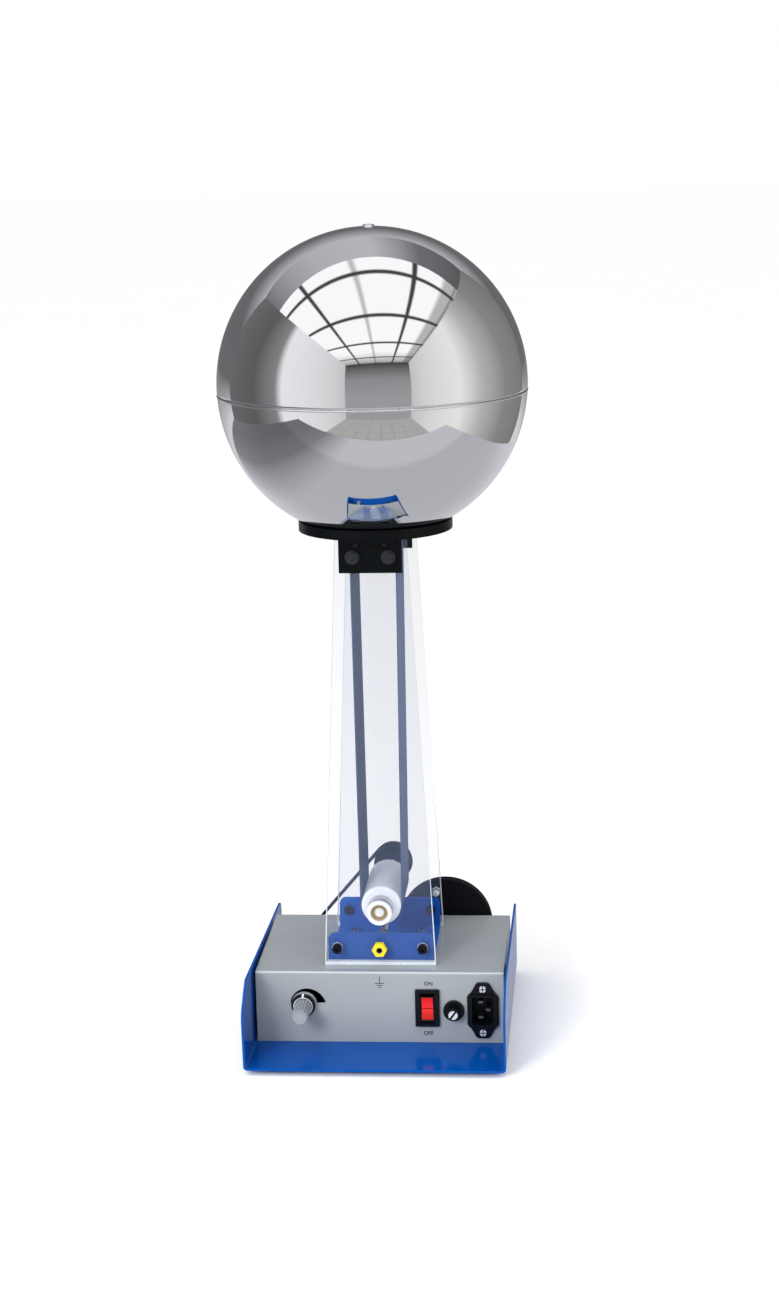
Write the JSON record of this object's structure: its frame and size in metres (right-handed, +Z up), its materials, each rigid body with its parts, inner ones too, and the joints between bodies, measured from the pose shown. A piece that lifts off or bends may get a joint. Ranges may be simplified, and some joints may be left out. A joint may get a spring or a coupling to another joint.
{
  "type": "van de graaff generator",
  "caption": "Classroom van de graaff generator: polished split dome on a clear tapered tower, belt over rollers, motor box with knob, switch, fuse and inlet in a folded tray, hand wheel behind.",
  "frame": {"origin": "on the floor under the centre of the dome, which is also the middle of the bounding box", "axes": "+Z up; -Y towards the control panel; +X to the right of a viewer at the panel"},
  "size_m": [0.2664, 0.2826, 0.7098],
  "materials": {
    "tray_blue": "gloss royal blue paint",
    "box_grey": "satin light grey paint",
    "rubber_black": "matt",
    "screw_steel": "bright",
    "screw_black": "black oxide",
    "chrome_bright": "bright plating",
    "plastic_black": "satin black moulding",
    "plastic_matt_black": "matt black moulding",
    "rocker_red": "gloss red",
    "knob_grey": "matt grey",
    "acrylic_clear": "clear acrylic with polished edges",
    "fuse_glass": "clear",
    "socket_yellow": "gloss yellow",
    "brass_plated": "bright",
    "bush_bronze": "sintered bronze",
    "roller_white": "translucent white plastic",
    "belt_rubber": "matt blue-grey rubber sheet",
    "dome_polished": "mirror-polished spun metal",
    "collar_black": "matt black",
    "motor_case": "zinc plated",
    "board_green": "green lacquer",
    "parts_dark": "moulded cases",
    "lead_sleeve": "insulated leads"
  },
  "bodies": {
    "base": {"base_tray": "tray_blue", "rubber_feet": "rubber_black", "control_box": "box_grey", "floor_screws": "screw_steel", "power_inlet": "plastic_black", "inlet_pins": "chrome_bright", "inlet_screws": "screw_steel", "fuse_holder": "plastic_black", "switch_body": "plastic_black", "speed_pot": "screw_steel", "pot_nut": "chrome_bright", "foot_bracket": "tray_blue", "bracket_bolts": "screw_steel", "front_sheet": "acrylic_clear", "rear_sheet": "acrylic_clear", "tower_screws": "screw_black", "tower_washers": "chrome_bright", "tower_nuts": "screw_black", "dome_head_screw": "screw_steel", "earth_socket": "socket_yellow", "earth_sleeve": "brass_plated", "comb_rod": "screw_steel", "lower_comb": "brass_plated", "bearing_housings": "roller_white", "bearing_bushes": "bush_bronze", "charge_belt": "belt_rubber", "drive_belt": "rubber_black", "top_brackets": "collar_black", "top_bolts": "screw_black", "collar_screws": "screw_black", "collar": "collar_black", "upper_axle": "screw_steel", "upper_comb": "brass_plated", "contact_strip": "brass_plated", "motor": "motor_case", "motor_bracket": "screw_steel", "wheel_axle": "screw_steel", "control_board": "board_green", "board_parts": "parts_dark", "wiring": "lead_sleeve"},
    "lower_roller": {"lower_shaft": "screw_steel", "lower_roller": "roller_white", "drive_pulley": "plastic_matt_black"},
    "upper_roller": {"upper_roller": "roller_white"},
    "motor_rotor": {"motor_shaft": "screw_steel", "motor_pulley": "plastic_matt_black"},
    "hand_wheel": {"hand_wheel": "plastic_matt_black", "crank_pin": "screw_steel"},
    "crank_knob": {"crank_knob": "plastic_black"},
    "speed_knob": {"pot_shaft": "screw_steel", "knob_skirt": "plastic_black", "speed_knob": "knob_grey"},
    "rocker": {"switch_rocker": "rocker_red"},
    "fuse": {"fuse_glass": "fuse_glass", "fuse_ends": "chrome_bright"},
    "fuse_cap": {"fuse_cap": "plastic_black"},
    "lower_dome": {"lower_dome": "dome_polished"},
    "upper_dome": {"upper_dome": "dome_polished", "top_socket": "chrome_bright"}
  },
  "joints": [
    {"name": "lower_roller_spin", "type": "hinge", "parent": "base", "child": "lower_roller", "pos_m": [0, 0.004, 0.119], "axis": [0, 1, 0], "continuous": true},
    {"name": "upper_roller_spin", "type": "hinge", "parent": "base", "child": "upper_roller", "pos_m": [0, 0.004, 0.4783], "axis": [0, 1, 0], "continuous": true},
    {"name": "motor_spin", "type": "hinge", "parent": "base", "child": "motor_rotor", "pos_m": [-0.082, 0.06, 0.038], "axis": [0, 1, 0], "continuous": true},
    {"name": "hand_wheel_spin", "type": "hinge", "parent": "base", "child": "hand_wheel", "pos_m": [0.0485, 0.094, 0.06], "axis": [0, 1, 0], "continuous": true},
    {"name": "crank_knob_spin", "type": "hinge", "parent": "hand_wheel", "child": "crank_knob", "pos_m": [0.0485, 0.12, 0.029], "axis": [0, 1, 0], "continuous": true},
    {"name": "speed_knob_turn", "type": "hinge", "parent": "base", "child": "speed_knob", "pos_m": [-0.0665, -0.09, 0.041], "axis": [0, 1, 0], "range_deg": [0, 300]},
    {"name": "power_rocker", "type": "hinge", "parent": "base", "child": "rocker", "pos_m": [0.0418, -0.068, 0.0382], "axis": [1, 0, 0], "range_deg": [-16, 0]},
    {"name": "fuse_pull", "type": "slide", "parent": "base", "child": "fuse", "axis": [0, -1, 0], "range_m": [0, 0.028]},
    {"name": "fuse_cap_turn", "type": "hinge", "parent": "fuse", "child": "fuse_cap", "pos_m": [0.0648, -0.078, 0.036], "axis": [0, 1, 0], "range_deg": [-90, 0]},
    {"name": "lower_dome_lift", "type": "slide", "parent": "base", "child": "lower_dome", "axis": [0, 0, 1], "range_m": [0, 0.06]},
    {"name": "upper_dome_lift", "type": "slide", "parent": "lower_dome", "child": "upper_dome", "axis": [0, 0, 1], "range_m": [0, 0.04]}
  ],
  "couplings": [
    {"joint": "upper_roller_spin", "follows": "lower_roller_spin", "ratio": 0.89637},
    {"joint": "motor_spin", "follows": "lower_roller_spin", "ratio": 2.4}
  ]
}
